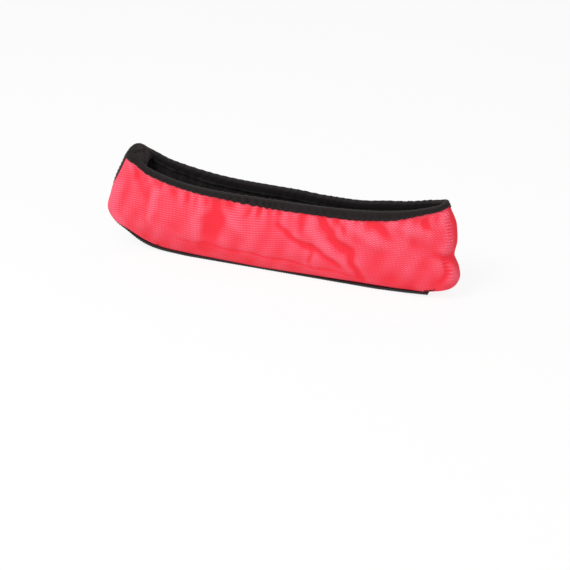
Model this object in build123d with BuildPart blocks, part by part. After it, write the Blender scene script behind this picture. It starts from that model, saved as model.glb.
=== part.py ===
from build123d import *
import math
import os

# Soft blade cover: an open-topped fabric sleeve with a terry lining, an elastic mouth and a webbing sole.
#
# Millimetres. +X runs from toe to heel and +Z up out of the mouth. The origin is on the floor, under
# the middle of the body. The sleeve is a stack of level rings, like the waterlines of a boat. Every
# layer is that same stack, set in or out by the layer's depth in the wall.

# Driving dimensions
BODY_LENGTH = 273.3  # from the webbing at the toe to the heel's bulge
BODY_WIDTH = 36.0  # across the shell where it bulges most
MOUTH_WIDTH = 23.2  # across the shell at the lowest part of the rim
TOE_WIDTH = 26.8  # across the blunt toe end
HEEL_WIDTH = 23.0  # across the heel end
TOE_ROUND = 6.5  # depth of the blunt toe end's rounded corners, along X
HEEL_ROUND = 9.0  # depth of the rounded heel end, along X
RIM_MIDDLE = 57.3  # height of the walls' top edge, halfway along
RIM_TOE = 79.3  # the same at the toe
RIM_TOE_TIP = 3.9  # how much of that height comes in the last stretch before the toe
RIM_HEEL = 71.0  # the same at the heel

SHELL_THICKNESS = 0.6  # woven outer fabric
REINFORCEMENT_THICKNESS = 0.5  # non-woven strip between the shell and the lining
REINFORCEMENT_HEIGHT = 12.0  # its top edge, above the floor
REINFORCEMENT_LENGTH = 210.0
LINING_THICKNESS = 2.2  # terry cloth
WEBBING_WIDTH = 22.0
WEBBING_THICKNESS = 2.0
WEBBING_TURN = 4.2  # how far the webbing's edges turn back round the body's ends
WEBBING_HEEL_GAP = 20.0  # from the end of the webbing to the heel's outermost point
BINDING_DEPTH = 5.0  # height of the binding's legs
BINDING_THICKNESS = 0.7
ELASTIC_WIDTH = 4.0
ELASTIC_THICKNESS = 0.8
FIT = 0.05  # room between two layers of cloth

THREAD = 0.45  # thread diameter
STITCH_LENGTH = 2.2
STITCH_PITCH = 3.6
GROOVE_WIDTH = 1.0  # the sole's thread lies in this groove, pulled into the webbing
GROOVE_DEPTH = 0.6
WEBBING_STITCH_INSET = 3.5  # from the webbing's edge to its row of stitches
BINDING_STITCH_INSET = 1.6  # from the binding's lower edge to its row of stitches
REINFORCEMENT_STITCH_INSET = 1.5  # from the reinforcement's top edge to its row
TACK_PITCH = 0.9  # spacing of the threads in a dense end tack
TACK_LENGTH = 2.4
WEBBING_TACK_COUNT = 19
BINDING_TACK_COUNT = 6
TACK_INSET = 3.0  # from the webbing's end to the middle of its tack

# One row per level ring, from the shell's bottom to above the rim: share of the stack's height, how
# far the toe and the heel are set back from their outermost points, how far the sides swell from
# their narrow width (0) to the body's width (1), and the share of the full toe and heel widths.
LEVELS = [
    (0.000, 65.3, 58.0, 0.00, 0.72, 0.74),
    (0.015, 45.3, 34.0, 0.16, 0.76, 0.88),
    (0.041, 34.3, 12.0, 0.42, 0.82, 0.96),
    (0.089, 24.8, 2.0, 0.67, 0.89, 1.00),
    (0.161, 15.3, 0.0, 0.89, 0.97, 1.00),
    (0.245, 5.3, 1.2, 1.00, 1.00, 0.96),
    (0.365, 0.5, 5.2, 0.97, 0.98, 0.86),
    (0.510, 3.5, 3.6, 0.68, 0.94, 0.78),
    (0.654, 7.1, 4.6, 0.24, 0.88, 0.70),
    (0.798, 12.7, 9.4, 0.02, 0.83, 0.62),
    (1.000, 21.0, 18.0, -0.06, 0.78, 0.55),
]
WIDEST_LEVEL = 5
TOE_ROUNDNESS = 0.7  # handle length of the toe's corners: a little squarer than a quarter circle
HEEL_ROUNDNESS = 0.5523  # handle length that makes a Bezier curve a quarter circle
SIDE_HANDLE = 80.0  # length along X over which a side leaves its rounded end
TOE_FLARE = 0.62  # the toe's share of the swell; the heel has the rest
RIM_MARGIN = 3.3  # how far the rings stand above the highest part of the rim

# Worked out from the driving dimensions
TOE_REACH = BODY_LENGTH / 2 - WEBBING_THICKNESS
HEEL_REACH = BODY_LENGTH / 2
STACK_HEIGHT = max(RIM_TOE, RIM_HEEL) + RIM_MARGIN - WEBBING_THICKNESS
STACK_TOP = WEBBING_THICKNESS + STACK_HEIGHT
RIM_TOE_X = -(TOE_REACH - 17.3)
RIM_HEEL_X = HEEL_REACH - 13.0
REINFORCEMENT_OUTSIDE = SHELL_THICKNESS + FIT
REINFORCEMENT_INSIDE = REINFORCEMENT_OUTSIDE + REINFORCEMENT_THICKNESS
LINING_OUTSIDE = REINFORCEMENT_INSIDE + FIT
LINING_INSIDE = LINING_OUTSIDE + LINING_THICKNESS
ELASTIC_OUTSIDE = LINING_INSIDE + FIT
ELASTIC_INSIDE = ELASTIC_OUTSIDE + ELASTIC_THICKNESS
BINDING_OUTSIDE = -(FIT + BINDING_THICKNESS)
BINDING_INSIDE = ELASTIC_INSIDE + FIT
BINDING_INNERMOST = BINDING_INSIDE + BINDING_THICKNESS
WEBBING_STITCH_Y = WEBBING_WIDTH / 2 - WEBBING_STITCH_INSET
WEBBING_END_X = HEEL_REACH - WEBBING_HEEL_GAP
THREAD_LIFT = THREAD / 2 + 2 * FIT
FRONT = -1
REAR = 1
UP = (0, 0, 1)


def facing_up(k):
    """Share of a step into the wall that goes upwards at ring k, from the slope of the two ends."""
    below = LEVELS[max(k - 1, 0)]
    above = LEVELS[min(k + 1, len(LEVELS) - 1)]
    rise = (above[0] - below[0]) * STACK_HEIGHT
    toe_slope = math.atan2(rise, below[1] - above[1])
    heel_slope = math.atan2(rise, below[2] - above[2])
    return 1.0 if k == 0 else math.cos(min((toe_slope + heel_slope) / 2, math.pi / 2))


def ring(k, inset):
    """Height, toe, heel, and the toe, heel and side half widths of ring k, set in by inset."""
    share, toe_back, heel_back, swell, toe_share, heel_share = LEVELS[k]
    narrow = WEBBING_WIDTH if k < WIDEST_LEVEL else MOUTH_WIDTH
    up = facing_up(k)
    inward = math.sqrt(1 - up * up)
    return (
        WEBBING_THICKNESS + share * STACK_HEIGHT + inset * up,
        -(TOE_REACH - toe_back) + inset * inward,
        HEEL_REACH - heel_back - inset * inward,
        toe_share * TOE_WIDTH / 2 - inset,
        heel_share * HEEL_WIDTH / 2 - inset,
        (narrow + swell * (BODY_WIDTH - narrow)) / 2 - inset,
    )


def rim_height(x):
    """Height of the walls' top edge at x: lowest near the middle, and higher towards both ends."""
    if x < 0:
        share = x / RIM_TOE_X
        tip = RIM_TOE_TIP * min(share, 1.06) ** 12
        return RIM_MIDDLE + (RIM_TOE - RIM_TOE_TIP - RIM_MIDDLE) * share**2.2 + tip
    return RIM_MIDDLE + (RIM_HEEL - RIM_MIDDLE) * (x / RIM_HEEL_X) ** 4


def half_body(inset, side):
    """The front or rear half of the body as one filled solid, with its surface set in by inset."""
    with BuildPart() as body:
        for k in range(len(LEVELS)):
            height, toe, heel, toe_half, heel_half, half_width = ring(k, inset)
            toe_depth = TOE_ROUND - inset
            heel_depth = HEEL_ROUND - inset
            toe_shoulder = toe + toe_depth
            heel_shoulder = heel - heel_depth
            flare = (8 * half_width - 4 * toe_half - 4 * heel_half) / 3
            toe_slope = TOE_FLARE * flare / SIDE_HANDLE
            heel_slope = (1 - TOE_FLARE) * flare / SIDE_HANDLE
            toe_handle = TOE_ROUNDNESS * toe_depth
            heel_handle = HEEL_ROUNDNESS * heel_depth
            with BuildSketch(Plane.XY.offset(height)):
                with BuildLine():
                    Bezier(
                        (toe, 0),
                        (toe, side * TOE_ROUNDNESS * toe_half),
                        (toe_shoulder - toe_handle, side * (toe_half - toe_slope * toe_handle)),
                        (toe_shoulder, side * toe_half),
                    )
                    Bezier(
                        (toe_shoulder, side * toe_half),
                        (toe_shoulder + SIDE_HANDLE, side * (toe_half + toe_slope * SIDE_HANDLE)),
                        (heel_shoulder - SIDE_HANDLE, side * (heel_half + heel_slope * SIDE_HANDLE)),
                        (heel_shoulder, side * heel_half),
                    )
                    Bezier(
                        (heel_shoulder, side * heel_half),
                        (heel_shoulder + heel_handle, side * (heel_half - heel_slope * heel_handle)),
                        (heel, side * HEEL_ROUNDNESS * heel_half),
                        (heel, 0),
                    )
                    Line((heel, 0), (toe, 0))
                make_face()
        loft(ruled=True)
    return body.part


def layer(outside, inside, side):
    """One layer of the front or rear half of the wall, between two depths."""
    outer = half_body(outside, side)
    inner = half_body(inside, side)
    with BuildPart() as cloth:
        add(outer)
        add(inner, mode=Mode.SUBTRACT)
    return cloth.part


def under_rim(drop):
    """Everything lower than a line that follows the rim, drop below it."""
    stations = [RIM_TOE_X * 1.27 + i * (RIM_HEEL_X - RIM_TOE_X) * 1.27 / 30 for i in range(31)]
    with BuildPart() as region:
        with BuildSketch(Plane.XZ):
            with BuildLine():
                line = Spline(*[(x, rim_height(x) - drop) for x in stations])
                Polyline(line @ 0, (stations[0], -RIM_MARGIN), (stations[-1], -RIM_MARGIN), line @ 1)
            make_face()
        extrude(amount=BODY_WIDTH, both=True)
    return region.part


def outline_prism(inset):
    """The body's outline seen from the side, set in by inset and carried straight across."""
    rings = [ring(k, inset) for k in range(len(LEVELS))]
    with BuildPart() as prism:
        with BuildSketch(Plane.XZ):
            with BuildLine():
                toe_line = Spline(*[(r[1], r[0]) for r in rings])
                heel_line = Spline(*[(r[2], r[0]) for r in rings])
                Line(toe_line @ 0, heel_line @ 0)
                Line(toe_line @ 1, heel_line @ 1)
            make_face()
        extrude(amount=BODY_WIDTH, both=True)
    return prism.part


def rim_tape(outside, inside, above, below):
    """Both halves of the wall between two depths, from above the rim's line to below it."""
    halves = [layer(outside, inside, side) for side in (FRONT, REAR)]
    under_top = under_rim(-above)
    under_bottom = under_rim(below)
    with BuildPart() as tape:
        add(halves)
        add(under_top, mode=Mode.INTERSECT)
        add(under_bottom, mode=Mode.SUBTRACT)
    return tape.part


def curve_on_body(inset, side, region, direction):
    """The line where region cuts the half body's surface, round the cut that faces direction."""
    body = half_body(inset, side)
    with BuildPart() as trimmed:
        add(body)
        add(region, mode=Mode.INTERSECT)
    cuts = trimmed.faces().filter_by(lambda face: face.normal_at().dot(Vector(direction)) > 0.7)
    edges = cuts.sort_by(SortBy.AREA)[-1].edges()
    on_skin = edges.filter_by(lambda edge: abs(edge.center().Y) > 1 and edge.center().Z < STACK_TOP - 1)
    return Wire(on_skin)


def stitch_places(row, keep):
    """Evenly spaced places along the row, where keep allows them."""
    count = round(row.length / STITCH_PITCH)
    places = [row.location_at((i + 0.5) / count) for i in range(count)]
    return [place for place in places if keep(place.position)]


def everywhere(position):
    """For a row of stitches that stops nowhere."""
    return True


def on_webbing(position):
    """For the webbing's rows, which stop short of the tacks at its two ends."""
    below_binding = rim_height(position.X) - BINDING_DEPTH - position.Z
    return position.X < WEBBING_END_X - 2 * TACK_INSET and below_binding > 2 * TACK_INSET


def on_reinforcement(position):
    """For the reinforcement's rows."""
    return abs(position.X) < REINFORCEMENT_LENGTH / 2 - STITCH_LENGTH


def groove(side):
    """The channel that the sole's row of thread pulls into the webbing."""
    cloth = layer(-2 * WEBBING_THICKNESS, -WEBBING_THICKNESS + GROOVE_DEPTH, side)
    with BuildPart() as channel:
        with Locations((0, side * WEBBING_STITCH_Y, 0)):
            Box(2 * BODY_LENGTH, GROOVE_WIDTH, 3 * STACK_HEIGHT)
        add(cloth, mode=Mode.INTERSECT)
    return channel.part


def level_slab(top, half_breadth):
    """Everything lower than top and within half_breadth of the middle."""
    with BuildPart() as slab:
        with Locations((0, 0, top)):
            Box(
                2 * BODY_LENGTH,
                2 * half_breadth,
                4 * STACK_HEIGHT,
                align=(Align.CENTER, Align.CENTER, Align.MAX),
            )
    return slab.part


os.makedirs("parts", exist_ok=True)

walls = under_rim(0)

# Woven shell, in two sides that meet along the middle
front_shell = layer(0, SHELL_THICKNESS, FRONT)
with BuildPart() as front_side_panel:
    add(front_shell)
    add(walls, mode=Mode.INTERSECT)
front_side_panel.part.label = "front_side_panel"
export_step(front_side_panel.part, "parts/front_side_panel.step")

rear_shell = layer(0, SHELL_THICKNESS, REAR)
with BuildPart() as rear_side_panel:
    add(rear_shell)
    add(walls, mode=Mode.INTERSECT)
rear_side_panel.part.label = "rear_side_panel"
export_step(rear_side_panel.part, "parts/rear_side_panel.step")

# Terry lining, in the same two sides
front_terry = layer(LINING_OUTSIDE, LINING_INSIDE, FRONT)
with BuildPart() as front_lining:
    add(front_terry)
    add(walls, mode=Mode.INTERSECT)
front_lining.part.label = "front_lining"
export_step(front_lining.part, "parts/front_lining.step")

rear_terry = layer(LINING_OUTSIDE, LINING_INSIDE, REAR)
with BuildPart() as rear_lining:
    add(rear_terry)
    add(walls, mode=Mode.INTERSECT)
rear_lining.part.label = "rear_lining"
export_step(rear_lining.part, "parts/rear_lining.step")

# Strip that doubles the sole, between the shell and the lining
strip_halves = [layer(REINFORCEMENT_OUTSIDE, REINFORCEMENT_INSIDE, side) for side in (FRONT, REAR)]
with BuildPart() as sole_reinforcement:
    add(strip_halves)
    with Locations((0, 0, REINFORCEMENT_HEIGHT)):
        Box(
            REINFORCEMENT_LENGTH,
            2 * BODY_WIDTH,
            2 * REINFORCEMENT_HEIGHT,
            align=(Align.CENTER, Align.CENTER, Align.MAX),
            mode=Mode.INTERSECT,
        )
sole_reinforcement.part.label = "sole_reinforcement"
export_step(sole_reinforcement.part, "parts/sole_reinforcement.step")

# Webbing, along the sole and up the toe end to the binding
webbing_halves = [layer(-WEBBING_THICKNESS, -FIT, side) for side in (FRONT, REAR)]
webbing_grooves = [groove(side) for side in (FRONT, REAR)]
webbing_core = outline_prism(WEBBING_TURN)
under_binding = under_rim(BINDING_DEPTH + FIT)
with BuildPart() as sole_webbing:
    add(webbing_halves)
    with Locations((WEBBING_END_X, 0, 0)):
        Box(
            2 * BODY_LENGTH,
            WEBBING_WIDTH,
            4 * STACK_HEIGHT,
            align=(Align.MAX, Align.CENTER, Align.CENTER),
            mode=Mode.INTERSECT,
        )
    add(webbing_core, mode=Mode.SUBTRACT)
    add(under_binding, mode=Mode.INTERSECT)
    add(webbing_grooves, mode=Mode.SUBTRACT)
sole_webbing.part.label = "sole_webbing"
export_step(sole_webbing.part, "parts/sole_webbing.step")

# Elastic, inside the mouth under the binding
elastic_loop = rim_tape(ELASTIC_OUTSIDE, ELASTIC_INSIDE, 0, ELASTIC_WIDTH)
with BuildPart() as mouth_elastic:
    add(elastic_loop)
mouth_elastic.part.label = "mouth_elastic"
export_step(mouth_elastic.part, "parts/mouth_elastic.step")

# Binding, folded over the rim with one leg outside and one inside
binding_block = rim_tape(BINDING_OUTSIDE, BINDING_INNERMOST, FIT + BINDING_THICKNESS, BINDING_DEPTH)
bound_edge = rim_tape(-FIT, BINDING_INSIDE, FIT, BINDING_DEPTH + FIT)
with BuildPart() as mouth_binding:
    add(binding_block)
    add(bound_edge, mode=Mode.SUBTRACT)
mouth_binding.part.label = "mouth_binding"
export_step(mouth_binding.part, "parts/mouth_binding.step")

# Rows of thread through the binding, outside and inside
under_row = under_rim(BINDING_DEPTH - BINDING_STITCH_INSET)
outer_rows = [curve_on_body(BINDING_OUTSIDE - THREAD_LIFT, side, under_row, UP) for side in (FRONT, REAR)]
outer_places = [place for row in outer_rows for place in stitch_places(row, everywhere)]
with BuildPart() as binding_outer_stitches:
    with Locations(*outer_places):
        Cylinder(THREAD / 2, STITCH_LENGTH)
binding_outer_stitches.part.label = "binding_outer_stitches"
export_step(binding_outer_stitches.part, "parts/binding_outer_stitches.step")

inner_rows = [curve_on_body(BINDING_INNERMOST + THREAD_LIFT, side, under_row, UP) for side in (FRONT, REAR)]
inner_places = [place for row in inner_rows for place in stitch_places(row, everywhere)]
with BuildPart() as binding_inner_stitches:
    with Locations(*inner_places):
        Cylinder(THREAD / 2, STITCH_LENGTH)
binding_inner_stitches.part.label = "binding_inner_stitches"
export_step(binding_inner_stitches.part, "parts/binding_inner_stitches.step")

# Rows of thread that hold the webbing, lying in its grooves
within_row = level_slab(STACK_TOP, WEBBING_STITCH_Y)
thread_depth = -WEBBING_THICKNESS + GROOVE_DEPTH / 2
front_webbing_row = curve_on_body(thread_depth, FRONT, within_row, (0, FRONT, 0))
with BuildPart() as webbing_front_stitches:
    with Locations(*stitch_places(front_webbing_row, on_webbing)):
        Cylinder(THREAD / 2, STITCH_LENGTH)
webbing_front_stitches.part.label = "webbing_front_stitches"
export_step(webbing_front_stitches.part, "parts/webbing_front_stitches.step")

rear_webbing_row = curve_on_body(thread_depth, REAR, within_row, (0, REAR, 0))
with BuildPart() as webbing_rear_stitches:
    with Locations(*stitch_places(rear_webbing_row, on_webbing)):
        Cylinder(THREAD / 2, STITCH_LENGTH)
webbing_rear_stitches.part.label = "webbing_rear_stitches"
export_step(webbing_rear_stitches.part, "parts/webbing_rear_stitches.step")

# Rows of thread that hold the reinforcement's turned-up edges, on the shell
under_edge = level_slab(REINFORCEMENT_HEIGHT - REINFORCEMENT_STITCH_INSET, BODY_WIDTH)
front_edge_row = curve_on_body(-THREAD_LIFT, FRONT, under_edge, UP)
with BuildPart() as reinforcement_front_stitches:
    with Locations(*stitch_places(front_edge_row, on_reinforcement)):
        Cylinder(THREAD / 2, STITCH_LENGTH)
reinforcement_front_stitches.part.label = "reinforcement_front_stitches"
export_step(reinforcement_front_stitches.part, "parts/reinforcement_front_stitches.step")

rear_edge_row = curve_on_body(-THREAD_LIFT, REAR, under_edge, UP)
with BuildPart() as reinforcement_rear_stitches:
    with Locations(*stitch_places(rear_edge_row, on_reinforcement)):
        Cylinder(THREAD / 2, STITCH_LENGTH)
reinforcement_rear_stitches.part.label = "reinforcement_rear_stitches"
export_step(reinforcement_rear_stitches.part, "parts/reinforcement_rear_stitches.step")

# Dense tacks across the webbing's two ends and down the binding's join at the heel
webbing_thread = -WEBBING_THICKNESS - 2 * FIT
webbing_tack_halves = [layer(webbing_thread - THREAD, webbing_thread, side) for side in (FRONT, REAR)]
with BuildPart() as webbing_heel_tack:
    with Locations((WEBBING_END_X - TACK_INSET, 0, 0)):
        with GridLocations(0, TACK_PITCH, 1, WEBBING_TACK_COUNT):
            Box(TACK_LENGTH, THREAD, 2 * REINFORCEMENT_HEIGHT)
    add(webbing_tack_halves, mode=Mode.INTERSECT)
webbing_heel_tack.part.label = "webbing_heel_tack"
export_step(webbing_heel_tack.part, "parts/webbing_heel_tack.step")

toe_tack_height = rim_height(RIM_TOE_X) - BINDING_DEPTH - TACK_INSET
with BuildPart() as webbing_toe_tack:
    with Locations((-TOE_REACH, 0, toe_tack_height)):
        with GridLocations(0, TACK_PITCH, 1, WEBBING_TACK_COUNT):
            Box(4 * TOE_ROUND, THREAD, TACK_LENGTH)
    add(webbing_tack_halves, mode=Mode.INTERSECT)
webbing_toe_tack.part.label = "webbing_toe_tack"
export_step(webbing_toe_tack.part, "parts/webbing_toe_tack.step")

binding_thread = BINDING_OUTSIDE - 2 * FIT
binding_tack_halves = [layer(binding_thread - THREAD, binding_thread, side) for side in (FRONT, REAR)]
with BuildPart() as binding_heel_tack:
    with Locations(Location((RIM_HEEL_X, 0, RIM_HEEL - BINDING_DEPTH / 2), (0, 90, 0))):
        with GridLocations(TACK_PITCH, 0, BINDING_TACK_COUNT, 1):
            Box(THREAD, TACK_LENGTH, 2 * HEEL_ROUND)
    add(binding_tack_halves, mode=Mode.INTERSECT)
binding_heel_tack.part.label = "binding_heel_tack"
export_step(binding_heel_tack.part, "parts/binding_heel_tack.step")
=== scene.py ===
"""Soft blade cover, dressed: red woven shell, terry lining, gathered binding and ribbed webbing."""

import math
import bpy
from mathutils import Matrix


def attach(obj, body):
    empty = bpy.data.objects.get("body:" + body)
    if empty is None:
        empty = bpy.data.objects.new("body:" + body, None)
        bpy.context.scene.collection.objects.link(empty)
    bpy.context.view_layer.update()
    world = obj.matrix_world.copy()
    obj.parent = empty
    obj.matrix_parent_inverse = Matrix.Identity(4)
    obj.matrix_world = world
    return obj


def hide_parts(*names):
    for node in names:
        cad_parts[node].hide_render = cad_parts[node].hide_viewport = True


bl_info = {
    "name": "Soft blade cover",
    "version": (1, 0, 0),
    "blender": (4, 5, 0),
    "location": "View3D > Sidebar > Blade Cover",
    "description": "Builds the cloth, webbing, binding and stitching of a soft blade cover",
    "category": "Object",
}

from functools import partial

import bpy
import numpy as np
from mathutils import Vector

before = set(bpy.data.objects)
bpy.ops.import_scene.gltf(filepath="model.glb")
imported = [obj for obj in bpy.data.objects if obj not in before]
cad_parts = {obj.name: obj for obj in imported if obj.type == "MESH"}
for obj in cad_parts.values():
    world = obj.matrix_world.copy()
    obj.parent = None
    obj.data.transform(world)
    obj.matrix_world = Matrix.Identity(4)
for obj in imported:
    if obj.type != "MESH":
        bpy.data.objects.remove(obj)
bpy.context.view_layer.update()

MM = 0.001
FRONT, REAR = -1, 1

# The body, as a stack of level rings, in millimetres
BODY_LENGTH = 273.3
BODY_WIDTH = 36.0
MOUTH_WIDTH = 23.2
TOE_WIDTH = 26.8
HEEL_WIDTH = 23.0
TOE_ROUND = 6.5
TOE_SQUARE = 0.7
HEEL_SQUARE = 0.5523
HEEL_ROUND = 9.0
RIM_MIDDLE = 57.3
RIM_TOE = 79.3
RIM_TOE_TIP = 3.9
RIM_HEEL = 71.0
RIM_TOE_SETBACK = 17.3
RIM_HEEL_SETBACK = 13.0
WEBBING_WIDTH = 22.0
WEBBING_THICKNESS = 2.0
STACK_HEIGHT = 80.6
LINING_DEPTH = 3.4
SIDE_HANDLE = 80.0
TOE_FLARE = 0.62
# Shares of the way from toe to heel at which the round ends meet the sides
TOE_SHARE = 0.08
HEEL_SHARE = 0.92
# Share of the height, set-back of toe and heel, swell of the sides, share of the toe and heel widths
LEVELS = np.array([
    (0.000, 65.3, 58.0, 0.00, 0.72, 0.74),
    (0.015, 45.3, 34.0, 0.16, 0.76, 0.88),
    (0.041, 34.3, 12.0, 0.42, 0.82, 0.96),
    (0.089, 24.8, 2.0, 0.67, 0.89, 1.00),
    (0.161, 15.3, 0.0, 0.89, 0.97, 1.00),
    (0.245, 5.3, 1.2, 1.00, 1.00, 0.96),
    (0.365, 0.5, 5.2, 0.97, 0.98, 0.86),
    (0.510, 3.5, 3.6, 0.68, 0.94, 0.78),
    (0.654, 7.1, 4.6, 0.24, 0.88, 0.70),
    (0.798, 12.7, 9.4, 0.02, 0.83, 0.62),
    (1.000, 21.0, 18.0, -0.06, 0.78, 0.55),
])
HEIGHTS = WEBBING_THICKNESS + LEVELS[:, 0] * STACK_HEIGHT
TOE_X = -(BODY_LENGTH / 2 - WEBBING_THICKNESS - LEVELS[:, 1])
HEEL_X = BODY_LENGTH / 2 - LEVELS[:, 2]
RIM_TOE_X = -(BODY_LENGTH / 2 - WEBBING_THICKNESS - RIM_TOE_SETBACK)
RIM_HEEL_X = BODY_LENGTH / 2 - RIM_HEEL_SETBACK
SWELL_LEVEL = 5
NARROW = np.where(np.arange(len(LEVELS)) < SWELL_LEVEL, WEBBING_WIDTH, MOUTH_WIDTH)
SIDE_HALF = (NARROW + LEVELS[:, 3] * (BODY_WIDTH - NARROW)) / 2
TOE_HALF = LEVELS[:, 4] * TOE_WIDTH / 2
HEEL_HALF = LEVELS[:, 5] * HEEL_WIDTH / 2

# Folds of the front side: points (x, z) along each, then its half width and its depth; inwards is minus
FRONT_FOLDS = [
    ([(-103.6, 68), (-103.8, 59), (-103.8, 48)], 3.0, -1.3),
    ([(-85.3, 60), (-92.9, 46.5), (-94.3, 41), (-96.3, 28)], 2.2, 0.9),
    ([(-92.3, 58), (-98.8, 46), (-100.3, 30)], 2.6, -0.7),
    ([(-85.9, 63), (-87.8, 54)], 1.3, -0.8),
    ([(-64.3, 59), (-66.8, 48)], 1.5, -0.9),
    ([(-14.9, 55), (-19.4, 45)], 1.6, -0.8),
    ([(-7.3, 56), (-10.8, 46)], 1.3, -0.8),
    ([(-37.5, 56), (-44.0, 41), (-46.4, 31), (-49.5, 16)], 6.6, -2.0),
    ([(-55.9, 54), (-56.9, 36), (-59.9, 17)], 3.2, 0.6),
    ([(-35.4, 47), (-29.7, 38.7), (-21.4, 31)], 3.6, 0.7),
    ([(-73.3, 16.5), (-31.6, 15.4), (0.4, 14.5), (33.9, 11.7), (68.7, 8.6)], 0.9, -0.45),
    ([(5.7, 41), (17.4, 32.7), (24.9, 29.2), (31.6, 27.5), (39.2, 21.8), (51.6, 15.5)], 1.9, -1.3),
    ([(30.2, 28), (30.5, 14)], 1.4, -0.8),
    ([(21.1, 53), (24, 37)], 2.4, -1.1),
    ([(36.1, 52), (45.2, 38.2), (50, 33.6), (58.9, 28.7), (62.4, 18.9), (67.2, 9.5)], 2.3, -1.9),
    ([(49.1, 53), (54.9, 42)], 1.5, -0.8),
    ([(27.6, 46), (35.6, 35), (44.6, 27), (54.6, 20)], 3.0, 1.0),
    ([(57.6, 49), (72.7, 41.9), (83.7, 38)], 3.2, 1.1),
    ([(73.2, 54), (85.7, 42.5)], 2.3, -1.3),
    ([(93.7, 54), (112.7, 48.6)], 2.8, 0.8),
    ([(106.2, 59), (114.7, 52.5)], 1.8, -0.9),
    ([(98.7, 44), (116.7, 38)], 3.5, -0.4),
    ([(125.7, 66), (127.2, 48), (127.7, 34)], 1.8, 0.5),
    ([(122.7, 33), (132.2, 31.5)], 2.6, -1.3),
    ([(127.7, 30), (129.1, 23), (127.2, 17)], 1.7, -1.1),
    ([(133.7, 26), (134.7, 12)], 2.6, 0.7),
]
REAR_FOLD_COUNT = 15
REAR_TURN = 2.1
PUCKER_PITCH = 9.5
CHEEK_SWELL = 1.75
TOE_STRIP_EDGE = 12.0

# The layers, in millimetres: how far each stops below the rim and lies outside the shell, and its thickness
SHELL_DROP, SHELL_THICKNESS = 0.5, 0.6
TERRY_DROP, TERRY_LIFT, TERRY_THICKNESS = 1.2, -1.2, 2.1
LOOP_DROP, LOOP_LIFT = 3.0, -3.25
LOOP_SEEDS = (3, 4)
# By the sole, the lining lies deeper by this share
SOLE_TUCK = 1.3
STRIP_LIFT, STRIP_THICKNESS, STRIP_REACH = -0.65, 0.5, 105.0
REINFORCEMENT_HEIGHT = 12.0
ELASTIC_LIFT, ELASTIC_THICKNESS = -3.45, 0.7
BINDING_THICKNESS = 0.55
BINDING_DEPTH = 5.0
BINDING_PAST_LINING = 1.2
GATHER_PITCH, FINE_GATHER_PITCH = 5.9, 2.3
LID_FROM, LID_TO = -100.0, -109.0
WEBBING_TURN = 4.2
WEBBING_HEEL_GAP = 20.0
WEBBING_SEAT = 0.05
STITCH_INSET = 3.5
WEBBING_TOOTH_POWER = 8
STRIP_ROW_DROP, STRIP_ROW_INSET = 1.5, 2.0
ELASTIC_TOP, ELASTIC_FOOT = 0.4, 6.0
# Length and width of one thread on each cloth's face, and how far the shell's weave leans at the heel
SHELL_THREAD = (2.9, 0.92)
BINDING_THREAD = (0.7, 1.1)
WEBBING_THREAD = (2.0, 0.9)
WEAVE_LEAN = 0.24
HEEL_RIB_PITCH = 2.4
# Threads in each end tack, the share of the webbing that a tack spans, and the stations it sits at
WEBBING_TACK_THREADS, BINDING_TACK_THREADS = 38, 25
TACK_SPAN = 0.648
HEEL_TACK_STATION, TOE_TACK_STATION = 3, -6
BINDING_TACK_TOP, BINDING_TACK_FOOT = 0.8, 3.0
BINDING_TACK_SHARE = 0.99

# How finely the meshes are cut; a wall's grid has columns, rows up the side and rows across half the sole
END_SHARES = 26
SHELL_GRID = (340, 84, 7)
TERRY_GRID = (260, 60, 5)
LOOP_GRID = (200, 44, 4)
MOUTH_COLUMNS = 760
ELASTIC_COLUMNS = 260
STRIP_COLUMNS = 240
STRIP_ROWS = 12
ROW_CROWDING = 1.7
WEBBING_STATION, LINE_STATION = 0.4, 0.8
FIRST_WALL = 56
WALL_ROUNDS, MOUTH_ROUNDS = 8, 10
OUTER_COLUMNS, RIM_COLUMNS, INNER_COLUMNS = 8, 9, 10
OUTER_STITCH_COLUMN, INNER_STITCH_COLUMN = 2, -3

# The stage, in metres; the camera's sensor is in millimetres and its picture in pixels
SENSOR_WIDTH = 36.0
FOCAL_PIXELS, PICTURE_PIXELS = 1300.0, 570
CAMERA_AZIMUTH, CAMERA_ELEVATION = math.radians(20), math.radians(29)
CAMERA_PLACE = (0.29681453, -0.80175384, 0.45670299)
LAMP_AIM = Vector((0, 0, 0.03))
LAMPS = (
    ("high lamp", (-0.34, -0.62, 0.95), 0.55, 8.0),
    ("side lamp", (0.9, -0.5, 0.6), 0.7, 2.0),
)
ROOM_LIGHT = 0.50
FLOOR_HALF = 3.0
FLOOR_WHITE = 0.88


def ease(low, high, value):
    """0 below low, 1 above high, and smooth between."""
    t = np.clip((value - low) / (high - low), 0, 1)
    return t * t * (3 - 2 * t)


def smoothed(values, rounds):
    """Values along a line, each averaged with its neighbours; the two ends stay."""
    for _ in range(rounds):
        values = values.copy()
        values[1:-1] = (values[:-2] + 2 * values[1:-1] + values[2:]) / 4
    return values


def halved(low, high, falls_short, rounds):
    """The places between low and high where falls_short stops being true."""
    for _ in range(rounds):
        middle = (low + high) / 2
        short = falls_short(middle)
        low, high = np.where(short, middle, low), np.where(short, high, middle)
    return (low + high) / 2


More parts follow.
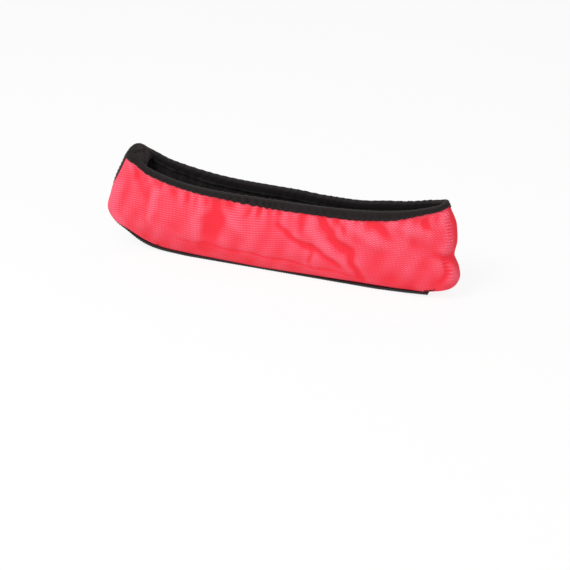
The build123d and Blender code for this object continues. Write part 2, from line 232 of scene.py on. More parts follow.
def read_at(heights, values):
    """Values given at the level rings, read at other heights along a smooth curve without overshoot."""
    rise = np.diff(values) / np.diff(HEIGHTS)
    slope = np.zeros(len(HEIGHTS))
    same_way = rise[1:] * rise[:-1] > 0
    slope[1:-1] = np.where(same_way, 2 * rise[1:] * rise[:-1] / (rise[1:] + rise[:-1] + 1e-12), 0)
    slope[0], slope[-1] = rise[0], rise[-1]
    z = np.clip(heights, HEIGHTS[0], HEIGHTS[-1])
    k = np.clip(np.searchsorted(HEIGHTS, z, side="right") - 1, 0, len(HEIGHTS) - 2)
    step = HEIGHTS[k + 1] - HEIGHTS[k]
    t = (z - HEIGHTS[k]) / step
    return (
        (2 * t**3 - 3 * t**2 + 1) * values[k]
        + (t**3 - 2 * t**2 + t) * step * slope[k]
        + (3 * t**2 - 2 * t**3) * values[k + 1]
        + (t**3 - t**2) * step * slope[k + 1]
    )


def rim_height(x, side=0):
    """Height of the walls' top edge at x; each side sags a little in places of its own."""
    sag = 0.0 * x
    if side == FRONT:
        sag = 3.7 * ease(-114, -98, x) * ease(-10, -84, x)
    if side == REAR:
        sag = 1.3 * ease(-104, -90, x) * ease(-5, -60, x) + 0.9 * ease(8, 30, x) * ease(72, 52, x)
        sag = sag - 1.3 * ease(64, 82, x) * ease(120, 108, x)
    toe_share = np.abs(np.minimum(x, 0) / RIM_TOE_X)
    toe_rise = (RIM_TOE - RIM_TOE_TIP - RIM_MIDDLE) * toe_share**2.2
    tip_rise = RIM_TOE_TIP * np.minimum(toe_share, 1.06) ** 12
    heel_rise = (RIM_HEEL - RIM_MIDDLE) * np.abs(np.maximum(x, 0) / RIM_HEEL_X) ** 4
    return RIM_MIDDLE + (toe_rise + tip_rise) + heel_rise - sag


def bend(t, a, b, c, d):
    """A bend from a to d with its handles at b and c."""
    return (1 - t) ** 3 * a + 3 * (1 - t) ** 2 * t * b + 3 * (1 - t) * t**2 * c + t**3 * d


def half_ring(s, z):
    """x and half breadth at share s of the way from toe to heel, on the level ring at height z."""
    toe, heel = read_at(z, TOE_X), read_at(z, HEEL_X)
    toe_half, heel_half, half = read_at(z, TOE_HALF), read_at(z, HEEL_HALF), read_at(z, SIDE_HALF)
    toe_shoulder, heel_shoulder = toe + TOE_ROUND, heel - HEEL_ROUND
    flare = (8 * half - 4 * toe_half - 4 * heel_half) / 3
    toe_flare, heel_flare = TOE_FLARE * flare, (1 - TOE_FLARE) * flare
    toe_slope, heel_slope = toe_flare / SIDE_HANDLE, heel_flare / SIDE_HANDLE
    t = np.clip((s - TOE_SHARE) / (HEEL_SHARE - TOE_SHARE), 0, 1)
    x = bend(t, toe_shoulder, toe_shoulder + SIDE_HANDLE, heel_shoulder - SIDE_HANDLE, heel_shoulder)
    y = bend(t, toe_half, toe_half + toe_flare, heel_half + heel_flare, heel_half)
    t = np.clip(s / TOE_SHARE, 0, 1)
    handle = TOE_SQUARE * TOE_ROUND
    toe_x = bend(t, toe, toe, toe_shoulder - handle, toe_shoulder)
    toe_y = bend(t, 0, TOE_SQUARE * toe_half, toe_half - toe_slope * handle, toe_half)
    t = np.clip((s - HEEL_SHARE) / (1 - HEEL_SHARE), 0, 1)
    handle = HEEL_SQUARE * HEEL_ROUND
    heel_x = bend(t, heel_shoulder, heel_shoulder + handle, heel, heel)
    heel_y = bend(t, heel_half, heel_half - heel_slope * handle, HEEL_SQUARE * heel_half, 0)
    x = np.where(s < TOE_SHARE, toe_x, np.where(s > HEEL_SHARE, heel_x, x))
    y = np.where(s < TOE_SHARE, toe_y, np.where(s > HEEL_SHARE, heel_y, y))
    return x, y


def share_at(x, z):
    """The share s at which the level ring at height z reaches x."""
    return halved(np.zeros_like(x), np.ones_like(x), lambda s: half_ring(s, z)[0] < x, 26)


def fold(x, z, points, spread, depth):
    """One fold's share of the cloth's push, from its distance to the fold's line."""
    best = np.full(np.shape(x), 1e9)
    along = np.zeros(np.shape(x))
    count = len(points) - 1
    for i in range(count):
        (x0, z0), (x1, z1) = points[i], points[i + 1]
        dx, dz = x1 - x0, z1 - z0
        t = np.clip(((x - x0) * dx + (z - z0) * dz) / (dx * dx + dz * dz), 0, 1)
        reach = np.hypot(x - x0 - t * dx, z - z0 - t * dz)
        nearer = reach < best
        best = np.where(nearer, reach, best)
        along = np.where(nearer, (i + t) / count, along)
    fade = 0.45 + 0.55 * np.sin(np.pi * np.clip(along * 0.9 + 0.08, 0, 1))
    return depth * fade * np.exp(-0.5 * (best / spread) ** (3 if spread > 4 else 2))


def rear_folds():
    """Folds for the rear side, of the same kinds as the front's, drawn at random."""
    rng = np.random.default_rng(7)
    folds = []
    for x in np.linspace(-104, 112, REAR_FOLD_COUNT):
        top = float(rim_height(x)) - rng.uniform(4, 9)
        lean = rng.uniform(4, 16) * (1 if x < 10 else -1)
        drop = rng.uniform(14, 36)
        middle = (x - lean * 0.45 + rng.uniform(-2, 2), top - drop * 0.5)
        depth = rng.uniform(0.8, 1.8) * (-1 if rng.random() < 0.65 else 0.6)
        folds.append(([(x, top), middle, (x - lean, top - drop)], rng.uniform(1.6, 3.8), depth))
    return folds


REAR_FOLDS = rear_folds()


def cloth_push(side, x, z, y):
    """How far the cloth stands out from the smooth body there, in millimetres, with folds and gathers."""
    sizes = bpy.context.scene.cover_sizes
    turn = 0.0 if side == FRONT else REAR_TURN
    push = np.zeros(np.shape(x))
    # The folds' lines waver, so none runs dead straight
    xw = x + 0.8 * np.sin(z / 3.7 + x / 7.3 + turn) + 0.4 * np.sin(z / 1.9 - x / 4.1)
    zw = z + 0.7 * np.sin(x / 4.9 + z / 8.1 + turn)
    for points, spread, depth in FRONT_FOLDS if side == FRONT else REAR_FOLDS:
        push = push + fold(xw, zw, points, spread, depth)
    push = push * sizes.fold_depth
    # Slow waves keep the cloth between the folds from lying flat
    push = push + 0.22 * np.sin(x / 6.1 + z / 9.0 + 1.3 * np.sin(z / 13 + turn) + turn)
    push = push + 0.16 * np.sin(x / 3.3 - z / 5.2 + 1.7 * np.sin(x / 17 + turn))
    # Puckers hang below the binding and fade out downwards
    rim = rim_height(x, side)
    below = rim - 7 - z
    pucker = np.sin(2 * np.pi * (x + 2.5 * np.sin(x / 9 + turn)) / PUCKER_PITCH + turn)
    push = push + sizes.gather_depth / MM * pucker * np.exp(-np.clip(below, 0, 99) / 6) * ease(-7, 2, below)
    # Seams hold the cloth still at the rim, the sole and the two ends; the toe's cheeks swell
    push = push * ease(0.5, 7.5, rim - z) * ease(1.8, 7.0, z)
    from_toe = x - read_at(z, TOE_X)
    push = push * ease(0.3, 5.0, y) * ease(3.0, TOE_STRIP_EDGE, from_toe)
    cheek = ease(8.0, 10.3, y) * ease(14.0, 4.0, from_toe) * ease(13, 26, z)
    cheek = cheek * (0.25 + 0.75 * ease(60, 48, z)) * ease(1.0, 8.0, rim - z)
    return push + CHEEK_SWELL * cheek


def skin(side, s, z, lift):
    """Points of the cloth in millimetres, lifted outwards from it by lift, and its push there."""
    step_s, step_z = 0.002, 0.25
    s0, s1 = np.clip(s - step_s, 0, 1), np.clip(s + step_s, 0, 1)
    z0, z1 = np.clip(z - step_z, HEIGHTS[0], None), z + step_z
    x, y = half_ring(s, z)
    xa, ya = half_ring(s0, z)
    xb, yb = half_ring(s1, z)
    xc, yc = half_ring(s, z0)
    xd, yd = half_ring(s, z1)
    along = np.stack([xb - xa, side * (yb - ya), 0 * x], -1)
    up = np.stack([xd - xc, side * (yd - yc), z1 - z0 + 0 * x], -1)
    out = np.cross(along, up) * -side
    out /= np.linalg.norm(out, axis=-1, keepdims=True) + 1e-12
    push = cloth_push(side, x, z, y)
    place = np.stack([x, side * y, z + 0 * x], -1) + out * (push + lift)[..., None]
    return place, push


def wall_rows(side, s, rows, top_drop):
    """Heights of the wall's rows at each share s, from the sole to the rim less top_drop."""
    v = np.linspace(0, 1, rows)[None, :] ** ROW_CROWDING
    z = WEBBING_THICKNESS + FIRST_WALL * v + 0 * s[:, None]
    # The rim's height depends on x, and x on the height, so the two are found in turns
    for _ in range(WALL_ROUNDS):
        x, _y = half_ring(s[:, None] + 0 * v, z)
        z = WEBBING_THICKNESS + (rim_height(x, side) - top_drop - WEBBING_THICKNESS) * v
    return z


def even_shares(count):
    """Shares from toe to heel, closer together round the two ends."""
    return np.concatenate([
        np.linspace(0, TOE_SHARE, END_SHARES, endpoint=False),
        np.linspace(TOE_SHARE, HEEL_SHARE, count, endpoint=False),
        np.linspace(HEEL_SHARE, 1, END_SHARES),
    ])


def run_lengths(places, axis):
    """How far along the cloth each place of a grid lies, measured through the places before it."""
    first = places[:1] if axis == 0 else places[:, :1]
    return np.cumsum(np.linalg.norm(np.diff(places, axis=axis, prepend=first), axis=-1), axis=axis)


def linked(name, data):
    """A new object in the scene that holds the data."""
    piece = bpy.data.objects.new(name, data)
    bpy.context.scene.collection.objects.link(piece)
    return piece


def grid_object(name, places, flip=False, closed=(False, False), caps=False, lengths=None, **values):
    """A mesh of quads from a grid of places in millimetres, with a UV map in metres along the cloth.

    Any further values, such as fold, are kept at the mesh's points for its material to read.
    """
    n, m = places.shape[:2]
    index = np.arange(n * m).reshape(n, m)
    rows = index if not closed[0] else np.vstack([index, index[:1]])
    rows = rows if not closed[1] else np.hstack([rows, rows[:, :1]])
    quads = np.stack([rows[:-1, :-1], rows[1:, :-1], rows[1:, 1:], rows[:-1, 1:]], -1).reshape(-1, 4)
    faces = quads.tolist()
    if caps:
        faces += [index[0].tolist(), index[-1][::-1].tolist()]
    if flip:
        faces = [face[::-1] for face in faces]
    mesh = bpy.data.meshes.new(name)
    mesh.from_pydata((places.reshape(-1, 3) * MM).tolist(), [], faces)
    mesh.polygons.foreach_set("use_smooth", [True] * len(mesh.polygons))
    if lengths is None:
        along = run_lengths(places, 0)
        lengths = np.stack([along - along[n // 2], run_lengths(places, 1)], -1)
    flat = lengths.reshape(-1, 2) * MM
    corners = np.zeros(len(mesh.loops), dtype=np.int64)
    mesh.loops.foreach_get("vertex_index", corners)
    uv = mesh.uv_layers.new(name="cloth")
    uv.data.foreach_set("uv", flat[corners].ravel())
    for label, grid in values.items():
        kept = mesh.attributes.new(label, "FLOAT", "POINT")
        kept.data.foreach_set("value", grid.ravel().astype(np.float32))
    mesh.update()
    return linked(name, mesh)


def settle(piece, nodes, material=None):
    """Puts a finished piece on the frame: it takes its material, rides on the body and replaces its nodes.
    """
    if material is not None:
        piece.data.materials.clear()
        piece.data.materials.append(material)
    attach(piece, "root")
    if nodes:
        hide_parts(*nodes)


# Materials


def new_material(name):
    """A material with its node tree and its shader."""
    material = bpy.data.materials.new(name)
    material.use_nodes = True
    tree = material.node_tree
    return material, tree, tree.nodes["Principled BSDF"]


def maths(tree, operation, first, second=None, third=None, clamp=False):
    """One Math node, fed by sockets or plain numbers."""
    node = tree.nodes.new("ShaderNodeMath")
    node.operation = operation
    node.use_clamp = clamp
    for socket, value in zip(node.inputs, (first, second, third)):
        if value is None:
            continue
        if isinstance(value, (int, float)):
            socket.default_value = value
        else:
            tree.links.new(value, socket)
    return node.outputs[0]


def colour_mix(tree, factor, first, second):
    """Mixes two colours, each a socket or a plain colour, by factor."""
    node = tree.nodes.new("ShaderNodeMix")
    node.data_type = "RGBA"
    for socket, value in ((node.inputs[0], factor), (node.inputs[6], first), (node.inputs[7], second)):
        if isinstance(value, bpy.types.NodeSocket):
            tree.links.new(value, socket)
        elif isinstance(value, (int, float)):
            socket.default_value = value
        else:
            socket.default_value = (*value[:3], 1)
    return node.outputs[2]


def toned(colour, share):
    """The colour made darker or paler by a share."""
    return [share * c for c in colour]


def object_place(tree):
    """Places on the piece itself, in metres."""
    return tree.nodes.new("ShaderNodeTexCoord").outputs["Object"]


def piece_value(tree, name):
    """One of the values that the piece's mesh carries."""
    node = tree.nodes.new("ShaderNodeAttribute")
    node.attribute_name = name
    return node.outputs["Fac"]


def noise(tree, vector, scale, detail, rough):
    """Cloudy values between nought and one."""
    node = tree.nodes.new("ShaderNodeTexNoise")
    node.inputs["Scale"].default_value = scale
    node.inputs["Detail"].default_value = detail
    node.inputs["Roughness"].default_value = rough
    tree.links.new(vector, node.inputs["Vector"])
    return node.outputs["Fac"]


def finished(tree, shader, colour, looks, height, strength, distance):
    """Gives the shader its colour, its plain values and the relief of its threads."""
    tree.links.new(colour, shader.inputs["Base Color"])
    for label, value in looks.items():
        shader.inputs[label].default_value = value
    bump = tree.nodes.new("ShaderNodeBump")
    bump.inputs["Strength"].default_value = strength
    bump.inputs["Distance"].default_value = distance
    tree.links.new(height, bump.inputs["Height"])
    tree.links.new(bump.outputs["Normal"], shader.inputs["Normal"])


def plainly_seen(tree):
    """One where a ray reaches this from the camera, straight, through glass or off a mirror."""
    ray = tree.nodes.new("ShaderNodeLightPath").outputs
    straight = maths(tree, "MAXIMUM", ray["Is Camera Ray"], ray["Is Transmission Ray"])
    return maths(tree, "MAXIMUM", straight, ray["Is Glossy Ray"])


def blended(tree, factor, first, second, output):
    """Sends a blend of two shaders to the tree's output node."""
    blend = tree.nodes.new("ShaderNodeMixShader")
    for socket, source in zip(blend.inputs, (factor, first.outputs[0], second.outputs[0])):
        tree.links.new(source, socket)
    tree.links.new(blend.outputs[0], tree.nodes[output].inputs["Surface"])


def weave_group():
    """Threads that cross over and under: Height is the threads' relief, and Gap marks the holes."""
    known = bpy.data.node_groups.get("woven threads")
    if known:
        return known
    group = bpy.data.node_groups.new("woven threads", "ShaderNodeTree")
    calc = partial(maths, group)
    for name, way, kind in (
        ("Cloth", "INPUT", "Vector"),
        ("Along", "INPUT", "Float"),
        ("Across", "INPUT", "Float"),
        ("Twill", "INPUT", "Float"),
        ("Height", "OUTPUT", "Float"),
        ("Gap", "OUTPUT", "Float"),
    ):
        group.interface.new_socket(name, in_out=way, socket_type=f"NodeSocket{kind}")
    source = group.nodes.new("NodeGroupInput").outputs
    result = group.nodes.new("NodeGroupOutput").inputs
    split = group.nodes.new("ShaderNodeSeparateXYZ")
    group.links.new(source["Cloth"], split.inputs[0])
    # Every other row starts half a thread further on, and lies deeper where the cloth isn't a twill
    row = calc("DIVIDE", split.outputs[1], source["Across"])
    odd = calc("FLOORED_MODULO", calc("FLOOR", row), 2.0)
    column = calc("ADD", calc("DIVIDE", split.outputs[0], source["Along"]), calc("MULTIPLY", odd, 0.5))
    rib_row = calc("ABSOLUTE", calc("SINE", calc("MULTIPLY", row, math.pi)))
    rib_column = calc("ABSOLUTE", calc("SINE", calc("MULTIPLY", column, math.pi)))
    dip = calc("MULTIPLY_ADD", source["Twill"], 0.25, 0.60)
    float_up = calc("SUBTRACT", 1.0, calc("MULTIPLY", calc("SUBTRACT", 1.0, rib_column), dip))
    height = calc("MULTIPLY", calc("POWER", rib_row, 0.7), float_up)
    sunk = calc("MULTIPLY", odd, calc("MULTIPLY_ADD", source["Twill"], -0.16, 0.50))
    height = calc("MULTIPLY", height, calc("SUBTRACT", 1.0, sunk))
    group.links.new(height, result["Height"])
    group.links.new(calc("SUBTRACT", 1.0, calc("MULTIPLY", height, 1.6), clamp=True), result["Gap"])
    return group


def woven(tree, along, across):
    """A woven threads node, its threads along and across millimetres in size on the piece's cloth map."""
    cloth = tree.nodes.new("ShaderNodeUVMap")
    cloth.uv_map = "cloth"
    node = tree.nodes.new("ShaderNodeGroup")
    node.node_tree = weave_group()
    tree.links.new(cloth.outputs[0], node.inputs["Cloth"])
    for label, value in (("Along", along * MM), ("Across", across * MM), ("Twill", 1.0)):
        node.inputs[label].default_value = value
    return node


def shell_material():
    """Red woven polyester: rows of threads, with painted highlight on the crowns of the folds, painted shade
    in the valleys and between the threads, a painted glint on the threads, and deeper and paler patches at
    random.
    """
    colours = bpy.context.scene.cover_colours
    material, tree, shader = new_material("red woven shell")
    calc = partial(maths, tree)
    threads = woven(tree, *SHELL_THREAD)
    height, gap = threads.outputs["Height"], threads.outputs["Gap"]
    place = object_place(tree)
    split = tree.nodes.new("ShaderNodeSeparateXYZ")
    tree.links.new(place, split.inputs[0])
    # Straight rows at the toe, turning to a twill towards the heel
    twill = calc("MULTIPLY_ADD", split.outputs[0], 16.0, -0.05, clamp=True)
    tree.links.new(twill, threads.inputs["Twill"])
    patches = calc("SUBTRACT", noise(tree, place, 48.0, 3.0, 0.55), 0.5)
    # Ribs by the heel, painted as pale and dark stripes of light and shade on their relief
    rib = calc("SINE", calc("MULTIPLY", split.outputs[2], 2 * math.pi / (HEEL_RIB_PITCH * MM)))
    rib = calc("MULTIPLY", rib, piece_value(tree, "ribbed"))
    # The fold value brings painted shade in the valleys and painted highlight on the crowns; random patches
    # add deeper and paler tone
    crown = calc("ADD", calc("MULTIPLY", piece_value(tree, "fold"), 0.50), 0.48)
    crown = calc("ADD", crown, calc("MULTIPLY", patches, 0.50))
    crown = calc("ADD", crown, calc("MULTIPLY", rib, 0.32), clamp=True)
    slope = calc("SUBTRACT", 3.0, calc("MULTIPLY", crown, 2.0))
    steep = calc("MULTIPLY", calc("MULTIPLY", crown, crown), slope)
    ground = colour_mix(tree, steep, colours.shell_deep_and_shaded, colours.shell_pale_and_lit)
    # A painted glint on the threads, strongest on the painted crowns, and painted shade in the gaps between
    # the threads
    glint = calc("MULTIPLY", height, calc("ADD", calc("MULTIPLY", steep, 0.70), 0.10))
    thread = colour_mix(tree, glint, ground, colours.shell_glint)
    shaded = colour_mix(tree, calc("MULTIPLY", gap, 0.8), thread, colours.shell_deep_and_shaded)
    looks = {
        "Roughness": 0.7,
        "Specular IOR Level": 0.12,
        "Sheen Weight": 0.05,
        "Sheen Roughness": 0.45,
        "Sheen Tint": (1.0, 0.55, 0.62, 1),
    }
    finished(tree, shader, shaded, looks, height, 0.55, 0.00016)
    return material


def terry_material():
    """Black terry: every loop catches a little light on its crown."""
    black = bpy.context.scene.cover_colours.terry_black
    material, tree, shader = new_material("black terry")
    place = object_place(tree)
    loops = noise(tree, place, 1500.0, 2.0, 0.5)
    patches = noise(tree, place, 90.0, 2.0, 0.5)
    lit = maths(tree, "MULTIPLY", maths(tree, "ADD", loops, patches), 0.5)
    shade = colour_mix(tree, lit, black, toned(black, 2.6))
    looks = {"Roughness": 1.0, "Specular IOR Level": 0.15, "Sheen Weight": 0.12}
    finished(tree, shader, shade, looks, loops, 0.8, 0.0005)
    return material


def binding_material():
    """Charcoal stretch binding: fine ribs across the tape, paler in rubbed patches and along the crest, with
    painted highlight on the gathers' crowns and the toe's lid and painted shade in the gathers' valleys, and
    a little lint on the crest, the lid and the highest gathers.
    """
    colours = bpy.context.scene.cover_colours
    charcoal = colours.binding_charcoal
    material, tree, shader = new_material("charcoal binding")
    calc = partial(maths, tree)
    height = woven(tree, *BINDING_THREAD).outputs["Height"]
    place = object_place(tree)
    crown = piece_value(tree, "fold")
    # Random rubbed patches, with the fold value's painted highlight and shade added
    wear_and_light = calc("ADD", noise(tree, place, 150.0, 4.0, 0.6), calc("MULTIPLY", crown, 0.30))
    lit = calc("MULTIPLY", calc("ADD", calc("MULTIPLY", height, 0.6), 0.3), wear_and_light, clamp=True)
    cloth_colour = colour_mix(tree, lit, charcoal, toned(charcoal, 3.2))
    lint = calc("GREATER_THAN", noise(tree, place, 620.0, 2.0, 0.7), 0.735)
    lint = calc("MULTIPLY", lint, calc("GREATER_THAN", crown, 0.75))
    face = colour_mix(tree, calc("MULTIPLY", lint, 0.5), cloth_colour, (0.30, 0.28, 0.28))
    # Black on the inner face, and painted shade on the rear crest
    shade = colour_mix(tree, piece_value(tree, "inside"), face, colours.terry_black)
    looks = {"Roughness": 0.85, "Specular IOR Level": 0.15, "Sheen Weight": 0.04}
    finished(tree, shader, shade, looks, height, 0.6, 0.0002)
    return material


def webbing_material():
    """Black webbing: lengthwise warp threads over its ribs."""
    black = bpy.context.scene.cover_colours.webbing_black
    material, tree, shader = new_material("black webbing")
    height = woven(tree, *WEBBING_THREAD).outputs["Height"]
    lit = maths(tree, "MULTIPLY", height, noise(tree, object_place(tree), 220.0, 3.0, 0.6))
    shade = colour_mix(tree, lit, black, toned(black, 3.0))
    finished(tree, shader, shade, {"Roughness": 0.6, "Specular IOR Level": 0.4}, height, 0.5, 0.0002)
    return material


def thread_material(name, colour):
    """Twisted sewing thread."""
    material, tree, shader = new_material(name)
    twist = noise(tree, object_place(tree), 2600.0, 1.0, 0.4)
    shade = colour_mix(tree, twist, toned(colour, 0.7), toned(colour, 1.5))
    finished(tree, shader, shade, {"Roughness": 0.5}, twist, 0.4, 0.0001)
    return material


def plain_cloth_material(name, colour, grain):
    """Felted or knitted cloth that stays inside the wall."""
    material, tree, shader = new_material(name)
    fibres = noise(tree, object_place(tree), grain, 4.0, 0.6)
    shade = colour_mix(tree, fibres, toned(colour, 0.75), colour)
    finished(tree, shader, shade, {"Roughness": 0.9}, fibres, 0.5, 0.0002)
    return material


# Repeats


def node_tool(name, sizes):
    """A Geometry Nodes group with one geometry in and out, and named inputs for its sizes."""
    group = bpy.data.node_groups.new(name, "GeometryNodeTree")
    group.interface.new_socket("Geometry", in_out="INPUT", socket_type="NodeSocketGeometry")
    for label, kind, value in sizes:
        socket = group.interface.new_socket(label, in_out="INPUT", socket_type=kind)
        socket.default_value = value
    group.interface.new_socket("Geometry", in_out="OUTPUT", socket_type="NodeSocketGeometry")
    return group, group.nodes.new("NodeGroupInput"), group.nodes.new("NodeGroupOutput")


def finish_repeat(group, result, instances, material):
    """Realizes the instances and gives them their material."""
    real = group.nodes.new("GeometryNodeRealizeInstances")
    paint = group.nodes.new("GeometryNodeSetMaterial")
    paint.inputs["Material"].default_value = material
    group.links.new(instances, real.inputs[0])
    group.links.new(real.outputs[0], paint.inputs["Geometry"])
    group.links.new(paint.outputs[0], result.inputs[0])


def thread_tool(name, material):
    """Geometry Nodes: one rounded thread at every pitch along a curve, lying along it."""
    group, source, result = node_tool(name, [
        ("Pitch", "NodeSocketFloat", 3.6 * MM),
        ("Length", "NodeSocketFloat", 2.2 * MM),
        ("Thickness", "NodeSocketFloat", 0.45 * MM),
    ])
    nodes, link, sizes = group.nodes, group.links.new, source.outputs
    spaced = nodes.new("GeometryNodeResampleCurve")
    spaced.mode = "LENGTH"
    link(sizes["Geometry"], spaced.inputs["Curve"])
    link(sizes["Pitch"], spaced.inputs["Length"])
    bead = nodes.new("GeometryNodeMeshUVSphere")
    bead.inputs["Segments"].default_value = 6
    bead.inputs["Rings"].default_value = 5
    bead.inputs["Radius"].default_value = 0.5
    size = nodes.new("ShaderNodeCombineXYZ")
    for socket, label in zip(size.inputs, ("Thickness", "Thickness", "Length")):
        link(sizes[label], socket)
    shape = nodes.new("GeometryNodeTransform")
    link(bead.outputs["Mesh"], shape.inputs["Geometry"])
    link(size.outputs[0], shape.inputs["Scale"])
    turn = nodes.new("FunctionNodeAlignRotationToVector")
    turn.axis = "Z"
    link(nodes.new("GeometryNodeInputTangent").outputs[0], turn.inputs["Vector"])
    place = nodes.new("GeometryNodeInstanceOnPoints")
    link(spaced.outputs[0], place.inputs["Points"])
    link(shape.outputs[0], place.inputs["Instance"])
    link(turn.outputs[0], place.inputs["Rotation"])
    finish_repeat(group, result, place.outputs[0], material)
    return group


def random_vector(group, seed, low, high):
    """A random vector at each point, between low and high."""
    node = group.nodes.new("FunctionNodeRandomValue")
    node.data_type = "FLOAT_VECTOR"
    node.inputs[0].default_value = low
    node.inputs[1].default_value = high
    group.links.new(seed, node.inputs["Seed"])
    return node.outputs[0]


def loop_tool(name, material):
    """Geometry Nodes: terry loops, as small leaning beads, all over the cloth."""
    group, source, result = node_tool(name, [
        ("Density", "NodeSocketFloat", 300000.0),
        ("Size", "NodeSocketFloat", 0.42 * MM),
        ("Seed", "NodeSocketInt", 3),
    ])
    nodes, link, sizes = group.nodes, group.links.new, source.outputs
    spots = nodes.new("GeometryNodeDistributePointsOnFaces")
    link(sizes["Geometry"], spots.inputs["Mesh"])
    link(sizes["Density"], spots.inputs["Density"])
    link(sizes["Seed"], spots.inputs["Seed"])
    bead = nodes.new("GeometryNodeMeshIcoSphere")
    bead.inputs["Radius"].default_value = 1.0
    bead.inputs["Subdivisions"].default_value = 1
    size = nodes.new("ShaderNodeVectorMath")
    size.operation = "SCALE"
    link(random_vector(group, sizes["Seed"], (0.75, 0.75, 1.6), (1.15, 1.15, 2.9)), size.inputs[0])
    link(sizes["Size"], size.inputs["Scale"])
    tilt = nodes.new("FunctionNodeEulerToRotation")
    link(random_vector(group, sizes["Seed"], (-0.8, -0.8, -3.1), (0.8, 0.8, 3.1)), tilt.inputs[0])
    turn = nodes.new("FunctionNodeRotateRotation")
    turn.rotation_space = "LOCAL"
    link(spots.outputs["Rotation"], turn.inputs[0])
    link(tilt.outputs[0], turn.inputs[1])
    place = nodes.new("GeometryNodeInstanceOnPoints")
    link(spots.outputs["Points"], place.inputs["Points"])
    link(bead.outputs["Mesh"], place.inputs["Instance"])
    link(turn.outputs[0], place.inputs["Rotation"])
    link(size.outputs[0], place.inputs["Scale"])
    finish_repeat(group, result, place.outputs[0], material)
    return group


def made_plain(name, carrier, group=None, **values):
    """The carrier's finished mesh, with the repeat's named sizes set; the carrier is removed."""
    if group is not None:
        modifier = carrier.modifiers.new(group.name, "NODES")
        modifier.node_group = group
        inputs = [item for item in group.interface.items_tree if item.in_out == "INPUT"]
        sockets = {item.name: item.identifier for item in inputs}
        for label, value in values.items():
            modifier[sockets[label]] = value
    bpy.context.view_layer.update()
    shown = carrier.evaluated_get(bpy.context.evaluated_depsgraph_get())
    mesh = bpy.data.meshes.new_from_object(shown)
    mesh.name = name
    piece = linked(name, mesh)
    bpy.data.objects.remove(carrier)
    return piece


def curve_through(lines, thickness=0.0, closed=False):
    """A curve object with one poly line through each list of places, in millimetres."""
    data = bpy.data.curves.new("thread line", "CURVE")
    data.dimensions = "3D"
    data.bevel_depth = thickness / 2 * MM
    data.bevel_resolution = 1
    data.use_fill_caps = thickness > 0
    for places in lines:
        spline = data.splines.new("POLY")
        spline.points.add(len(places) - 1)
        flat = np.hstack([np.asarray(places) * MM, np.ones((len(places), 1))])
        spline.points.foreach_set("co", flat.ravel())
        spline.use_cyclic_u = closed
    return linked("thread line", data)


# Shapes of the pieces


def softened(values, rounds):
    """A grid of values, each averaged with its neighbours both ways."""
    return smoothed(smoothed(values, rounds).T, rounds).T


def fold_shade(push):
    """The painted shade and highlight that the cloth's push gives: minus one, the deepest painted shade, in
    a sharp valley, plus one, the palest painted highlight, on a sharp crown.
    """
    return np.clip(0.38 * push + 0.95 * (push - softened(push, 36)), -1.6, 1.6)


def wall_grid(side, drop, lift, grid):
    """One side of a layer, from the middle of the sole up to the rim less drop.

    Returns the places, the cloth's push there, and each place's lengths along and across the cloth.
    """
    columns, rows, floor_rows = grid
    s = even_shares(columns)
    z = wall_rows(side, s, rows, drop)
    tucked = lift * (1 + SOLE_TUCK * ease(9, 2, z))
    places, push = skin(side, s[:, None] + 0 * z, z, tucked)
    low = places[:, :1]
    middle = low * np.array([1.0, 0.0, 1.0])
    share = np.linspace(0, 1, floor_rows, endpoint=False)[None, :, None]
    floor = middle + (low - middle) * share
    places = np.concatenate([floor, places], axis=1)
    push = np.concatenate([np.repeat(push[:, :1], floor_rows, axis=1), push], axis=1)
    # Lengths start at the middle of the sole, so the threads of both sides meet there
    along = run_lengths(places, 0)
    along = along - np.array([np.interp(0.0, places[:, j, 0], along[:, j]) for j in range(along.shape[1])])
    centre = places[len(s) // 2]
    heights = run_lengths(centre[None], 1)[0]
    across = np.interp(places[..., 2], centre[floor_rows:, 2], heights[floor_rows:])
    across += np.maximum(0, places[..., 2] - centre[-1, 2])
    across[:, :floor_rows] = heights[floor_rows] - np.abs(places[:, :floor_rows, 1] - low[:, :, 1])
    # The weave leans over more and more towards the heel
    x = np.linspace(-140, 140, 561)
    lean = WEAVE_LEAN * ease(-50, 40, x)
    leaning = np.interp(places[..., 0], x, lean)
    climb = np.interp(places[..., 0], x, np.cumsum(lean) * (x[1] - x[0]))
    return places, push, np.stack([along + leaning * across, across - climb], -1)


def thickened(piece, thickness):
    """Gives a layer its thickness, inwards."""
    wall = piece.modifiers.new("wall", "SOLIDIFY")
    wall.thickness = thickness * MM
    wall.offset = -1
    wall.use_even_offset = False


def rim_loop(count):
    """Shares from toe to heel for one side of a band round the mouth, closer together at the ends."""
    return np.concatenate([
        np.linspace(0, TOE_SHARE, count // 14, endpoint=False),
        np.linspace(TOE_SHARE, HEEL_SHARE, count - count // 7, endpoint=False),
        np.linspace(HEEL_SHARE, 1, count // 14, endpoint=False),
    ])


def below_rim(side, s, drop, lift):
    """Places on the wall at drop below the rim, with the outward direction there."""
    z = RIM_MIDDLE - drop + 0 * s
    for _ in range(MOUTH_ROUNDS):
        x, _y = half_ring(s, z)
        z = rim_height(x, side) - drop
    low, _push = skin(side, s, z, lift)
    high, _push = skin(side, s, z, lift + 1.0)
    return low, high - low


def round_mouth(count, make):
    """A closed band round the mouth: make(side, shares) gives the places of each side's columns."""
    front = rim_loop(count)
    rear = np.concatenate([[1.0], front[:0:-1]])
    return np.concatenate([make(FRONT, front), make(REAR, rear)], axis=0)


